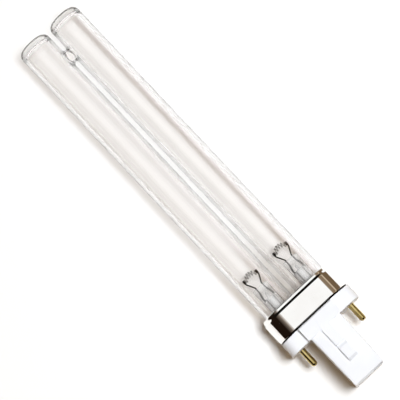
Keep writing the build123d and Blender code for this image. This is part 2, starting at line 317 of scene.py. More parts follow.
def let_light_through(finish, shader, square_on, grazing, between, near_cap, slants):
    """Lets lamp light pass a glass wall, least where it grazes the wall and is bent away.

    Between the legs, what one wall bends away the other sends on, so more of it comes through
    there. Near the cap less comes through: a painted shadow that stands for the shade the cap and
    base cast along the legs.
    """
    tree = finish.node_tree
    parts = object_parts(tree, (-1000, 800))
    across = calculate(tree, "ABSOLUTE", (-600, 800), parts.outputs["Y"])
    outside = rise_between(tree, across, (TUBE_X - TUBE_BORE / 2) * MM,
                           (TUBE_X + TUBE_BORE / 2) * MM, (-400, 800))
    # Painted shadow: towards the cap the wall lets less lamp light through, for the shade the cap
    # and base cast along the legs
    cap_shade = rise_between(tree, parts.outputs["X"], (SEAT.x - CAP_SHADE_END) * MM,
                          (SEAT.x - CAP_TOP) * MM, (-400, 1050))
    bent = blend_colours(tree, outside, between, grazing, (-200, 700))
    bent = blend_colours(tree, cap_shade, bent, near_cap, (-100, 900))
    along = seen_along(tree, *slants, (-350, 550))
    passed = blend_colours(tree, along, square_on, bent, (0, 350))
    path = add_node(tree, "ShaderNodeLightPath", (100, 500))
    clear = add_node(tree, "ShaderNodeBsdfTransparent", (300, 200))
    mixed = add_node(tree, "ShaderNodeMixShader", (550, 300))
    output = tree.nodes["Material Output"]
    output.location = (750, 300)
    link = tree.links.new
    link(passed, clear.inputs["Color"])
    link(path.outputs["Is Shadow Ray"], mixed.inputs[0])
    link(shader.outputs[0], mixed.inputs[1])
    link(clear.outputs[0], mixed.inputs[2])
    link(mixed.outputs[0], output.inputs["Surface"])


# Roughness of the tubes where they are seen along, and the slants between which it sets in
RIM_HAZE = 0.277
RIM_SLANTS = 0.36, 0.4


def make_glass(name, colour, edge, passing, *, ior, across, ripple, rough, clear=1.0, rim=None):
    """Clear glass with faint drawn lines, a trace of haze and a tone where it is seen along.

    A rim is the roughness where the wall is seen along. It keeps the thin lines along a tube whole
    in a denoised render, where clear glass breaks them up into dashes.
    """
    finish, tree, shader = new_finish(name, IOR=ior, Transmission_Weight=clear)
    edge_tone, start, end = edge
    # Where the edge tone is dark, this is painted shade that outlines the glass where it is seen
    # along
    along = seen_along(tree, start, end, (-900, 350))
    link = tree.links.new
    link(blend_colours(tree, along, colour, edge_tone, (-350, 350)), shader.inputs["Base Color"])
    lines = place_group(tree, DRAWN_LINES, (-600, -200), Across=across)
    raise_bump(tree, lines.outputs["Lines"], shader, ripple, 0.05, (-250, -250))
    haze = place_group(tree, MOTTLE, (-600, 100), Scale=90.0, Low=0.0, High=rough)
    dulled = haze.outputs["Patches"]
    if rim is not None:
        turned = seen_along(tree, *RIM_SLANTS, (-900, 50))
        dulled = spread_values(tree, turned, dulled, rim, (-400, 50))
    link(dulled, shader.inputs["Roughness"])
    let_light_through(finish, shader, **passing)
    return finish


def make_cap_metal():
    """Bright nickel-plated sheet: almost a mirror, with drawn lines and finger-dulled patches.

    Its foot, where the base meets it, has a painted near-black band: painted shade for the
    tucked-in join there.
    """
    finish, tree, shader = new_finish("bright_cap", Metallic=1.0)
    dulled = place_group(tree, MOTTLE, (-700, 100), Scale=160.0).outputs["Patches"]
    # Painted shade: the metal turns near-black in a narrow band at its foot, where the base tucks
    # under it
    crease_end = SEAT.x - CAP_BASE - CREASE_WIDTH
    crease_shade = rise_between(tree, object_parts(tree, (-1100, 450)).outputs["X"],
                          (crease_end - CREASE_FADE) * MM, crease_end * MM, (-700, 450))
    sheet = blend_colours(tree, dulled, tone(252, 251, 249), tone(247, 245, 242), (-450, 250))
    crease_shaded = blend_colours(tree, crease_shade, sheet, tone(14, 12, 11), (-200, 350))
    link = tree.links.new
    link(crease_shaded, shader.inputs["Base Color"])
    link(spread_values(tree, dulled, 0.04, 0.09, (-350, 0)), shader.inputs["Roughness"])
    lines = place_group(tree, DRAWN_LINES, (-700, -250), Across=2500.0, Along=40.0)
    raise_bump(tree, lines.outputs["Lines"], shader, 0.04, 0.04, (-350, -250))
    return finish


def make_patched(name, first, second, *, scale, rough, grain, depth=0.05, rings=None, **sockets):
    """Two-tone finish: its colour and its roughness both change over the same patches.

    Its bump is a fine grain, or the rings that a turning tool left.
    """
    finish, tree, shader = new_finish(name, **sockets)
    mottle = place_group(tree, MOTTLE, (-700, 100), Scale=scale)
    patches = mottle.outputs["Patches"]
    link = tree.links.new
    link(blend_colours(tree, patches, first, second, (-350, 250)), shader.inputs["Base Color"])
    link(spread_values(tree, patches, *rough, (-350, 0)), shader.inputs["Roughness"])
    height = mottle.outputs["Fine"]
    if rings is not None:
        height = place_group(tree, DRAWN_LINES, (-700, -250), **rings).outputs["Lines"]
    raise_bump(tree, height, shader, grain, depth, (-350, -250))
    return finish


# How much lamp light each glass lets pass, and the slants between which that changes
STEM_GRAZED = (0.7, 0.68, 0.65, 1.0)
TUBE_WALL = {
    "square_on": (0.97, 0.97, 0.965, 1.0),
    "grazing": (0.78, 0.77, 0.76, 1.0),
    "between": (0.95, 0.948, 0.945, 1.0),
    # Near the cap less passes: a painted shadow for the shade of the cap and base
    "near_cap": (0.58, 0.54, 0.5, 1.0),
    "slants": (0.33, 0.5),
}
STEM_WALL = {
    "square_on": (0.97, 0.965, 0.96, 1.0),
    "grazing": STEM_GRAZED,
    "between": STEM_GRAZED,
    "near_cap": STEM_GRAZED,
    "slants": (0.3, 0.8),
}

# Tone of each glass where it is seen along, and the slants between which that sets in. The dark
# tones of the tips, stems and starter are painted shade that outlines their edges.
TUBE_EDGE = ((1.0, 1.0, 1.0, 1.0), 0.3, 0.4)
TIP_EDGE = ((0.03, 0.025, 0.02, 1.0), 0.3, 0.6)
STEM_EDGE = ((0.02, 0.018, 0.015, 1.0), 0.55, 0.85)
STARTER_EDGE = ((0.45, 0.44, 0.43, 1.0), 0.5, 0.9)

# Finishes
QUARTZ_CLEAR = (0.982, 0.967, 0.962, 1.0)
STEM_CLEAR = (0.985, 0.985, 0.98, 1.0)
QUARTZ = make_glass("clear_quartz", QUARTZ_CLEAR, TUBE_EDGE, TUBE_WALL, ior=1.46, across=300.0,
                    ripple=0.008, rough=0.012, rim=RIM_HAZE)
QUARTZ_TIP = make_glass("quartz_tip", QUARTZ_CLEAR, TIP_EDGE, TUBE_WALL, ior=1.46, across=300.0,
                        ripple=0.008, rough=0.012)
STEM_GLASS = make_glass("stem_glass", STEM_CLEAR, STEM_EDGE, STEM_WALL, ior=1.5, across=400.0,
                        ripple=0.02, rough=0.05, clear=0.8)
STARTER_GLASS = make_glass("starter_glass", STEM_CLEAR, STARTER_EDGE, STEM_WALL, ior=1.5,
                           across=400.0, ripple=0.02, rough=0.03)
CAP_METAL = make_cap_metal()
BASE_PLASTIC = make_patched("white_moulding", tone(240, 241, 244), tone(235, 236, 241), scale=130.0,
                            rough=(0.34, 0.44), grain=0.06, depth=0.04, Specular_IOR_Level=0.4)
PIN_BRASS = make_patched("turned_brass", tone(208, 190, 132), tone(178, 157, 98), scale=420.0,
                         rough=(0.05, 0.1), grain=0.08, depth=0.03,
                         rings={"Across": 60.0, "Along": 5200.0}, Metallic=1.0)
LEAD_WIRE = make_patched("nickel_wire", tone(74, 68, 62), tone(38, 34, 30), scale=900.0,
                         rough=(0.3, 0.5), grain=0.1, Metallic=1.0)
COATED_COIL = make_patched("coated_coil", tone(190, 185, 178), tone(116, 110, 104), scale=1600.0,
                           rough=(0.6, 0.85), grain=0.3)
CEMENT = make_patched("basing_cement", tone(214, 198, 176), tone(190, 170, 146), scale=700.0,
                      rough=(0.8, 0.95), grain=0.5)
CAPACITOR_DIP = make_patched("dipped_capacitor", tone(176, 108, 52), tone(150, 86, 40), scale=300.0,
                             rough=(0.25, 0.4), grain=0.1)

# Meshes
MERGE_WITHIN = 0.0005


def join_rows(bm, lower, upper):
    """Faces between two closed rows of one count of points."""
    count = len(lower)
    for k in range(count):
        after = (k + 1) % count
        bm.faces.new((lower[k], lower[after], upper[after], upper[k]))


def skin(bm, rings, closed_top=False):
    """Joins rings of points, all of one count, with faces; the last may be closed by one face."""
    rows = [[bm.verts.new(point) for point in ring] for ring in rings]
    for lower, upper in zip(rows, rows[1:]):
        join_rows(bm, lower, upper)
    if closed_top:
        bm.faces.new(rows[-1])
    return rows


def round_ring(x, radius, height, count):
    """Ring of points round an axis along Z."""
    turns = [2 * pi * k / count for k in range(count)]
    return [(x + radius * cos(turn), radius * sin(turn), height) for turn in turns]


def arc_points(middle, radius, start, end, steps):
    """Points of reach and height on an arc, with angles from outwards towards the tips."""
    points = []
    for k in range(steps + 1):
        turn = radians(start + (end - start) * k / steps)
        points.append((middle[0] + radius * cos(turn), middle[1] + radius * sin(turn)))
    return points


def curve_between(first, second, bend, steps):
    """Points of reach and height on a smooth curve between two, drawn towards a bend point."""
    points = []
    for k in range(steps + 1):
        u = k / steps
        weights = ((1 - u) ** 2, 2 * u * (1 - u), u**2)
        drawn = (first, bend, second)
        points.append(tuple(sum(w * p[i] for w, p in zip(weights, drawn)) for i in (0, 1)))
    return points


def finished_mesh(bm, sharp_angle):
    """Mesh of a piece, shaded smooth and laid down: its doubles merged, its faces outwards."""
    bmesh.ops.remove_doubles(bm, verts=bm.verts, dist=MERGE_WITHIN)
    loose = [vert for vert in bm.verts if not vert.link_faces]
    bmesh.ops.delete(bm, geom=loose, context="VERTS")
    bmesh.ops.recalc_face_normals(bm, faces=bm.faces)
    bm.transform(LAID)
    mesh = bpy.data.meshes.new("piece")
    bm.to_mesh(mesh)
    bm.free()
    mesh.shade_smooth()
    mesh.set_sharp_from_angle(angle=sharp_angle)
    return mesh


def applied_mesh(maker, modifier):
    """Plain mesh of an object with its modifier applied, after which the object goes."""
    depsgraph = bpy.context.evaluated_depsgraph_get()
    mesh = bpy.data.meshes.new_from_object(maker.evaluated_get(depsgraph))
    maker.modifiers.remove(modifier)
    bpy.data.objects.remove(maker)
    return mesh


def put_in_place(name, mesh, finish, slot, *nodes):
    """Object for a finished mesh that stands for CAD nodes."""
    mesh.name = name
    mesh.materials.clear()
    mesh.materials.append(finish)
    piece = new_object(name, mesh)
    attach(piece, "root")
    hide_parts(*nodes)


# Glass envelope: each leg's outer and inner wall, with an opening from which the bridge grows
LEG_COLUMNS = 96
WINDOW_COLUMNS = 12
WINDOW_ROWS = 24
OUTER_WINDOW = 4.9
OUTER_ROOT = 4.0
BORE_WINDOW = 4.0
BORE_ROOT = 2.9
GLASS_SHARP = radians(50)


def tip_profile(radius, tip):
    """Radius and height along a closed tip, from its straight wall's end to its dome's middle."""
    dome = (radius**2 + TIP_DOME**2) / (2 * TIP_DOME)
    corner_x = radius - TIP_CORNER
    corner_z = tip - dome + sqrt((dome - TIP_CORNER) ** 2 - corner_x**2)
    lean = asin(corner_x / (dome - TIP_CORNER))
    points = []
    corner_steps, dome_steps = 12, 10
    for k in range(corner_steps + 1):
        turn = k / corner_steps * (pi / 2 - lean)
        points.append((corner_x + TIP_CORNER * cos(turn), corner_z + TIP_CORNER * sin(turn)))
    for k in range(1, dome_steps + 1):
        turn = lean * (1 - k / dome_steps)
        points.append((dome * sin(turn), tip - dome + dome * cos(turn)))
    return points


def leg_wall(bm, side, radius, tip, window_half, root, waist):
    """One wall of a leg from foot to tip, with the half of the bridge that grows from it."""
    def on_wall(turn, height, wall=radius):
        return (side * (TUBE_X - wall * cos(turn)), wall * sin(turn), height)

    low_steps, high_steps = 14, 4
    window_low = BRIDGE_Z - window_half
    window_high = BRIDGE_Z + window_half
    closed = tip_profile(radius, tip)
    rise = closed[0][1] - window_high
    heights = [FOOT + (window_low - FOOT) * k / low_steps for k in range(low_steps)]
    first = len(heights)
    last = first + WINDOW_ROWS
    heights += [window_low + 2 * window_half * k / WINDOW_ROWS for k in range(WINDOW_ROWS + 1)]
    heights += [window_high + rise * k / high_steps for k in range(1, high_steps)]
    levels = [(radius, height) for height in heights] + closed

    step = 2 * pi / LEG_COLUMNS
    rows = []
    for wall, height in levels:
        rows.append([bm.verts.new(on_wall(k * step, height, wall)) for k in range(LEG_COLUMNS)])
    for j in range(len(rows) - 1):
        for k in range(LEG_COLUMNS):
            column = k if k < LEG_COLUMNS / 2 else k - LEG_COLUMNS
            if first <= j < last and -WINDOW_COLUMNS <= column < WINDOW_COLUMNS:
                continue
            after = (k + 1) % LEG_COLUMNS
            bm.faces.new((rows[j][k], rows[j][after], rows[j + 1][after], rows[j + 1][k]))

    edge = [(k, first) for k in range(-WINDOW_COLUMNS, WINDOW_COLUMNS)]
    edge += [(WINDOW_COLUMNS, j) for j in range(first, last)]
    edge += [(k, last) for k in range(WINDOW_COLUMNS, -WINDOW_COLUMNS, -1)]
    edge += [(-WINDOW_COLUMNS, j) for j in range(last, first, -1)]
    arcs = [(radius * k * step, levels[j][1] - BRIDGE_Z) for k, j in edge]
    angles = [atan2(rise, arc) for arc, rise in arcs]

    def wall_x(reach, angle):
        return TUBE_X - sqrt(radius**2 - (reach * cos(angle)) ** 2)

    rings = [[on_wall(arc / radius, BRIDGE_Z + rise) for arc, rise in arcs]]
    patch_steps, bridge_steps = 5, 12
    for k in range(1, patch_steps + 1):
        share = k / patch_steps
        ring = []
        for (arc, rise), angle in zip(arcs, angles):
            round_arc = radius * asin(root * cos(angle) / radius)
            turn = (arc + (round_arc - arc) * share) / radius
            ring.append(on_wall(turn, BRIDGE_Z + rise + (root * sin(angle) - rise) * share))
        rings.append(ring)
    for k in range(1, bridge_steps + 1):
        u = k / bridge_steps
        reach = (1 - u) ** 2 * root + (2 * u * (1 - u) + u**2) * waist
        ring = []
        for angle in angles:
            x = (1 - u) ** 2 * wall_x(root, angle) + 2 * u * (1 - u) * wall_x(waist, angle)
            ring.append((side * x, reach * cos(angle), BRIDGE_Z + reach * sin(angle)))
        rings.append(ring)
    skin(bm, rings)
    return rows[0]


def make_envelope():
    """Both legs and the bridge in one mesh, with a glass of its own on the outside of the tips."""
    bm = bmesh.new()
    for side in SIDES.values():
        before = set(bm.faces)
        outer = leg_wall(bm, side, TUBE_RADIUS, TIP, OUTER_WINDOW, OUTER_ROOT, BRIDGE_RADIUS)
        for face in set(bm.faces) - before:
            face.material_index = int(face.calc_center_median().z > LEG_END)
        inner = leg_wall(bm, side, TUBE_BORE, TIP - TIP_GLASS, BORE_WINDOW, BORE_ROOT, BRIDGE_BORE)
        join_rows(bm, outer, inner)
    mesh = finished_mesh(bm, GLASS_SHARP)
    finishes = [face.material_index for face in mesh.polygons]
    put_in_place("quartz_envelope", mesh, QUARTZ, "quartz", "glass_envelope")
    mesh.materials.append(QUARTZ_TIP)
    mesh.polygons.foreach_set("material_index", finishes)


# Glass stems
STEM_POINTS = 64
PUMP_POINTS = 24
PUMP_BORE_ENDS = PUMP_FOOT + 0.8, PRESS_BASE + 1.6
PUMP_BORE_WALL = PUMP_FOOT + 1.1, PRESS_BASE + 1.0


def slot_ring(x, width, thickness, height):
    """Ring of points round a flat press with round edges, by angle as on a circle's ring."""
    half = width / 2 - thickness / 2
    ring = []
    for k in range(STEM_POINTS):
        turn = 2 * pi * k / STEM_POINTS
        end = half if cos(turn) >= 0 else -half
        ring.append((x + end + thickness / 2 * cos(turn), thickness / 2 * sin(turn), height))
    return ring


def stem_outside(x):
    """Rings of a stem's outside: its rim, its flare, its tube and the flat press."""
    flare_steps, tube_steps, press_steps, crown_steps = 10, 4, 16, 6
    outer = [(TUBE_RADIUS, LEDGE), (TUBE_RADIUS, LEDGE + STEM_RIM)]
    outer += curve_between((FLARE_ROOT, FOOT), (STEM_RADIUS, FLARE_TOP),
                           (STEM_RADIUS, FOOT + FLARE_BEND), flare_steps)
    outer += [(STEM_RADIUS, FLARE_TOP + (PRESS_BASE - FLARE_TOP) * k / tube_steps)
              for k in range(1, tube_steps + 1)]
    rings = [round_ring(x, radius, height, STEM_POINTS) for radius, height in outer]
    pressed = slot_ring(x, PRESS_WIDTH, PRESS_THICKNESS, STEM_TOP)
    start = rings[-1]
    for k in range(1, press_steps + 1):
        u = k / press_steps
        share = u * u * (3 - 2 * u)
        height = PRESS_BASE + (STEM_TOP - PRESS_CROWN - PRESS_BASE) * u
        rings.append([(a[0] + (b[0] - a[0]) * share, a[1] + (b[1] - a[1]) * share, height)
                      for a, b in zip(start, pressed)])
    for k in range(1, crown_steps + 1):
        turn = k / crown_steps * pi / 2
        drawn_in = PRESS_CROWN * (1 - cos(turn))
        height = STEM_TOP - PRESS_CROWN + PRESS_CROWN * sin(turn)
        rings.append(slot_ring(x, PRESS_WIDTH - 2 * drawn_in, PRESS_THICKNESS - 2 * drawn_in,
                               height))
    return rings


def stem_inside(x):
    """Rings of a stem's inside: its flare, its bore, and the pump tube that hangs in the bore."""
    flare_steps, bore_steps, crown_steps, pump_steps = 10, 4, 6, 8
    bore_foot = FLARE_TOP - STEM_RIM
    inner = curve_between((FLARE_ROOT - STEM_RIM / 2, LEDGE), (STEM_BORE, bore_foot),
                          (STEM_BORE, LEDGE + FLARE_BEND), flare_steps)
    inner += [(STEM_BORE, bore_foot + (PRESS_BASE - FLARE_TOP) * k / bore_steps)
              for k in range(1, bore_steps + 1)]
    bore_top = inner[-1][1]
    for k in range(1, crown_steps + 1):
        turn = k / crown_steps * pi / 2
        inner.append((PUMP_RADIUS + (STEM_BORE - PUMP_RADIUS) * cos(turn),
                      bore_top + BORE_CROWN * sin(turn)))
    inner += [(PUMP_RADIUS, bore_top * (1 - k / pump_steps) + PUMP_FOOT * k / pump_steps)
              for k in range(pump_steps + 1)]
    inner += [(PUMP_RADIUS - PUMP_END_INSET, PUMP_FOOT - PUMP_END), (0.0, PUMP_FOOT - PUMP_END)]
    return [round_ring(x, radius, height, STEM_POINTS) for radius, height in inner]


def make_stem(hand, side):
    """Flared foot, tube, flat press and pump tube of one leg, all of one glass."""
    x = side * TUBE_X
    bm = bmesh.new()
    skin(bm, stem_inside(x)[::-1] + stem_outside(x), closed_top=True)
    pump_bore = [(0.0, PUMP_BORE_ENDS[0]), (PUMP_BORE, PUMP_BORE_WALL[0]),
                 (PUMP_BORE, PUMP_BORE_WALL[1]), (0.0, PUMP_BORE_ENDS[1])]
    skin(bm, [round_ring(x, radius, height, PUMP_POINTS) for radius, height in pump_bore])
    mesh = finished_mesh(bm, GLASS_SHARP)
    put_in_place(f"{hand}_stem_glass", mesh, STEM_GLASS, "stem_glass", f"{hand}_stem")


# Lead-in wires and filaments, by Geometry Nodes
def new_shape_tree(name, inputs):
    """Geometry tree with number inputs, given as name, socket kind and default, and a finish."""
    tree = bpy.data.node_groups.new(name, "GeometryNodeTree")
    new_socket = tree.interface.new_socket
    new_socket("Geometry", in_out="INPUT", socket_type="NodeSocketGeometry")
    for label, kind, default in inputs:
        new_socket(label, in_out="INPUT", socket_type=kind).default_value = default
    new_socket("Finish", in_out="INPUT", socket_type="NodeSocketMaterial")
    new_socket("Geometry", in_out="OUTPUT", socket_type="NodeSocketGeometry")
    entry = add_node(tree, "NodeGroupInput", (-900, 0))
    leave = add_node(tree, "NodeGroupOutput", (900, 0))
    return tree, entry, leave


def end_shape_tree(tree, entry, leave, curve):
    """Gives a curve its round wire, then ends the tree in realized geometry with its finish."""
    link = tree.links.new
    section = add_node(tree, "GeometryNodeCurvePrimitiveCircle", (0, -250))
    thick = add_node(tree, "GeometryNodeCurveToMesh", (200, 0))
    thick.inputs["Fill Caps"].default_value = True
    smooth = add_node(tree, "GeometryNodeSetShadeSmooth", (380, 0))
    real = add_node(tree, "GeometryNodeRealizeInstances", (550, 0))
    finish = add_node(tree, "GeometryNodeSetMaterial", (720, 0))
    link(entry.outputs["Wire sides"], section.inputs["Resolution"])
    link(entry.outputs["Wire radius"], section.inputs["Radius"])
    link(curve, thick.inputs["Curve"])
    link(section.outputs["Curve"], thick.inputs["Profile Curve"])
    link(thick.outputs["Mesh"], smooth.inputs["Geometry"])
    link(smooth.outputs["Geometry"], real.inputs["Geometry"])
    link(real.outputs["Geometry"], finish.inputs["Geometry"])
    link(entry.outputs["Finish"], finish.inputs["Material"])
    link(finish.outputs["Geometry"], leave.inputs["Geometry"])


def make_bent_wire_tree():
    """Wire along a route of straight runs, whose corners are bent to a radius."""
    tree, entry, leave = new_shape_tree("bent_wire", (
        ("Wire radius", "NodeSocketFloat", 0.25),
        ("Wire sides", "NodeSocketInt", 16),
        ("Bend radius", "NodeSocketFloat", 1.0),
    ))
    bent = add_node(tree, "GeometryNodeFilletCurve", (-400, 0), mode="POLY")
    bent.inputs["Count"].default_value = 10
    bent.inputs["Limit Radius"].default_value = True
    tree.links.new(entry.outputs["Geometry"], bent.inputs["Curve"])
    tree.links.new(entry.outputs["Bend radius"], bent.inputs["Radius"])
    end_shape_tree(tree, entry, leave, bent.outputs["Curve"])
    return tree


def make_arched_coil_tree():
    """Coil along X that bows upwards between its two ends."""
    tree, entry, leave = new_shape_tree("arched_coil", (
        ("Span", "NodeSocketFloat", 4.6),
        ("Turns", "NodeSocketFloat", 8.0),
        ("Coil radius", "NodeSocketFloat", 0.8),
        ("Arch", "NodeSocketFloat", 1.0),
        ("Wire radius", "NodeSocketFloat", 0.18),
        ("Wire sides", "NodeSocketInt", 10),
    ))
    link = tree.links.new
    span = entry.outputs["Span"]
    coil = add_node(tree, "GeometryNodeCurveSpiral", (-650, 0))
    coil.inputs["Resolution"].default_value = 28
    link(entry.outputs["Turns"], coil.inputs["Rotations"])
    link(entry.outputs["Coil radius"], coil.inputs["Start Radius"])
    link(entry.outputs["Coil radius"], coil.inputs["End Radius"])
    link(span, coil.inputs["Height"])
    place = add_node(tree, "GeometryNodeInputPosition", (-900, -300))
    parts = add_node(tree, "ShaderNodeSeparateXYZ", (-750, -300))
    link(place.outputs[0], parts.inputs[0])
    share = calculate(tree, "DIVIDE", (-600, -450), parts.outputs["Z"], span)
    turn = calculate(tree, "MULTIPLY", (-450, -450), share, pi)
    bow = calculate(tree, "SINE", (-300, -450), turn)
    lift = calculate(tree, "MULTIPLY", (-150, -450), bow, entry.outputs["Arch"])
    raised = calculate(tree, "ADD", (-150, -300), parts.outputs["X"], lift)
    half = calculate(tree, "MULTIPLY", (-600, -600), span, 0.5)
    centred = calculate(tree, "SUBTRACT", (-300, -600), parts.outputs["Z"], half)
    turned = add_node(tree, "ShaderNodeCombineXYZ", (-50, -450))
    moved = add_node(tree, "GeometryNodeSetPosition", (-200, 0))
    link(centred, turned.inputs["X"])
    link(parts.outputs["Y"], turned.inputs["Y"])
    link(raised, turned.inputs["Z"])
    link(coil.outputs["Curve"], moved.inputs["Geometry"])
    link(turned.outputs[0], moved.inputs["Position"])
    end_shape_tree(tree, entry, leave, moved.outputs["Geometry"])
    return tree


BENT_WIRE = make_bent_wire_tree()
ARCHED_COIL = make_arched_coil_tree()


def shaped_mesh(data, tree, **values):
    """Plain mesh of what a geometry tree makes from an object's data, with inputs set by name."""
    maker = new_object("maker", data)
    modifier = maker.modifiers.new("shape", "NODES")
    modifier.node_group = tree
    for item in tree.interface.items_tree:
        wanted = item.name.replace(" ", "_")
        if item.in_out == "INPUT" and wanted in values:
            modifier[item.identifier] = values[wanted]
    return applied_mesh(maker, modifier)


def make_wire(name, route, node):
    curve = bpy.data.curves.new("route", "CURVE")
    curve.dimensions = "3D"
    spline = curve.splines.new("POLY")
    spline.points.add(len(route) - 1)
    for spot, point in zip(spline.points, route):
        spot.co = (*point, 1.0)
    mesh = shaped_mesh(curve, BENT_WIRE, Wire_radius=LEAD_RADIUS, Wire_sides=16,
                       Bend_radius=LEAD_BEND, Finish=LEAD_WIRE)
    mesh.transform(LAID)
    put_in_place(name, mesh, LEAD_WIRE, "lead_wire", node)


# Hook at the top of a lead wire: each point outwards, upwards and along from the clamp's foot
HOOK = ((-0.35, 0.8, 0.1), (-0.15, 0.8, 1.3), (0.3, -0.1, 1.5), (0.0, 0.0, -0.3))


def lead_route(side, outward, ending):
    """Route from the filament's clamp, hooked at its top, through the press to the terminal."""
    clamp_x = side * TUBE_X + outward * CLAMP_SPREAD / 2
    press_x = side * TUBE_X + outward * LEAD_SPREAD / 2
    route = [(clamp_x + outward * out, up, CLAMP_BASE + along) for out, up, along in HOOK]
    route += [(press_x, 0.0, STEM_TOP + LEAD_KNEE), (press_x, 0.0, WIRE_TOP)]
    return route + ending


def make_leads():
    for hand, side in SIDES.items():
        pin_x = side * PIN_X
        pin_end = [(pin_x, 0.0, PIN_WIRE_LOW), (pin_x, 0.0, PIN_LEAD_END)]
        make_wire(f"{hand}_pin_wire", lead_route(side, side, pin_end), f"{hand}_pin_lead")
        starter_x = side * STARTER_SPREAD / 2
        starter_end = [(starter_x, STARTER_Y, STARTER_WIRE_LOW), (starter_x, STARTER_Y, PINCH_TOP)]
        make_wire(f"{hand}_starter_wire", lead_route(side, -side, starter_end),
                  f"{hand}_starter_lead")


def make_filaments():
    for hand, side in SIDES.items():
        mesh = shaped_mesh(bpy.data.meshes.new("blank"), ARCHED_COIL, Span=4.9, Turns=5.0,
                           Coil_radius=0.85, Arch=1.2, Wire_radius=0.18, Wire_sides=10,
                           Finish=COATED_COIL)
        mesh.transform(Matrix.Translation((side * TUBE_X, 0.0, CLAMP_BASE + COIL_RISE)))
        mesh.transform(LAID)
        put_in_place(f"{hand}_coated_coil", mesh, COATED_COIL, "filament_wire", f"{hand}_filament")


# Metal cap: its section is carried round both legs, and its top plate has a hole for each leg
END_POINTS = 48
HOLE_POINTS = 96
METAL_SHARP = radians(40)
FOLD_STRAIGHT, FOLD_SLOPE, FOLD_INSET = 0.18, 0.16, 0.08


def outline_ring(reach, height):
    """Ring round both legs at a reach from their axes."""
    ring = []
    for side, start in ((1, -pi / 2), (-1, pi / 2)):
        for k in range(END_POINTS + 1):
            turn = start + pi * k / END_POINTS
            ring.append((side * TUBE_X + reach * cos(turn), reach * sin(turn), height))
    return ring


def cap_outside():
    """Reach and height along the outside of the cap: its roll, its folded shoulder and its rim."""
    full = CAP_HALF_DEPTH - CAP_FULL_ROLL, CAP_BASE + CAP_FULL_ROLL
    rim_edge = RIM_HALF_DEPTH - CAP_EDGE, CAP_TOP - CAP_EDGE
    roll_start, roll_steps, fold_steps, edge_steps = -70, 14, 4, 8
    points = arc_points(full, CAP_FULL_ROLL, roll_start, 0, roll_steps)
    points += curve_between((CAP_HALF_DEPTH, SHOULDER_BASE - FOLD_STRAIGHT),
                            (CAP_HALF_DEPTH - FOLD_INSET, SHOULDER_BASE + FOLD_SLOPE),
                            (CAP_HALF_DEPTH, SHOULDER_BASE), fold_steps)
    points += curve_between((RIM_HALF_DEPTH + FOLD_INSET, RIM_BASE - FOLD_SLOPE),
                            (RIM_HALF_DEPTH, RIM_BASE + FOLD_STRAIGHT),
                            (RIM_HALF_DEPTH, RIM_BASE), fold_steps)
    return points + arc_points(rim_edge, CAP_EDGE, 0, 90, edge_steps)


def cap_inside():
    """Reach and height along the inside of the cap, from its top plate to its foot."""
    roll = CAP_HALF_DEPTH - CAP_ROLL, CAP_BASE + CAP_ROLL
    room = CAP_HALF_DEPTH - CAP_SHEET
    return [
        (RIM_HALF_DEPTH - CAP_SHEET, CAP_TOP - CAP_SHEET),
        (RIM_HALF_DEPTH - CAP_SHEET, RIM_BASE),
        (room, SHOULDER_BASE),
        (room, CAP_BASE + CAP_ROLL),
        *arc_points(roll, CAP_ROLL - CAP_SHEET, 0, -90, 6),
    ]


def make_cap():
    bm = bmesh.new()
    outer = skin(bm, [outline_ring(*point) for point in cap_outside()])
    inner = skin(bm, [outline_ring(*point) for point in cap_inside()])
    join_rows(bm, outer[0], inner[-1])
    hole_steps = 6
    plate = []
    for k in range(hole_steps + 1):
        turn = radians(90 / hole_steps * k)
        plate.append((CAP_HOLE + CAP_HOLE_EDGE * (1 - sin(turn)),
                      CAP_TOP - CAP_HOLE_EDGE * (1 - cos(turn))))
    plate.append((CAP_HOLE, CAP_TOP - CAP_SHEET))
    holes = {}
    for side in SIDES.values():
        holes[side] = skin(bm, [round_ring(side * TUBE_X, reach, height, HOLE_POINTS)
                                for reach, height in plate])
    for row, level in ((outer[-1], 0), (inner[0], -1)):
        edges = []
        for ring in (row, holes[1][level], holes[-1][level]):
            for k, vert in enumerate(ring):
                edges.append(bm.edges.get((vert, ring[(k + 1) % len(ring)])))
        bmesh.ops.triangle_fill(bm, use_beauty=True, use_dissolve=False, edges=edges)
    mesh = finished_mesh(bm, METAL_SHARP)
    put_in_place("drawn_cap", mesh, CAP_METAL, "cap_metal", "metal_cap")


# White base: the CAD solid with its edges softened
EDGE_SOFTNESS = 0.22 * MM
CAD_MERGE_WITHIN = 0.000002
FLAT_WITHIN = radians(0.4)
BASE_SHARP = radians(22)
SOFTENED_FROM = radians(25)


def make_base():
    bm = bmesh.new()
    bm.from_mesh(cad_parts["base_housing"].data)
    bmesh.ops.remove_doubles(bm, verts=bm.verts, dist=CAD_MERGE_WITHIN)
    bmesh.ops.dissolve_limit(bm, angle_limit=FLAT_WITHIN, verts=bm.verts, edges=bm.edges)
    mesh = bpy.data.meshes.new("base")
    bm.to_mesh(mesh)
    bm.free()
    mesh.shade_smooth()
    mesh.set_sharp_from_angle(angle=BASE_SHARP)
    maker = new_object("maker", mesh)
    bevel = maker.modifiers.new("softened", "BEVEL")
    bevel.width = EDGE_SOFTNESS
    bevel.segments = 3
    bevel.limit_method = "ANGLE"
    bevel.angle_limit = SOFTENED_FROM
    bevel.harden_normals = True
    softened = applied_mesh(maker, bevel)
    put_in_place("white_base", softened, BASE_PLASTIC, "base_plastic", "base_housing")


# Brass pins
PIN_POINTS = 48
PIN_NECK, PIN_NECK_FLARE = 0.12, 0.02


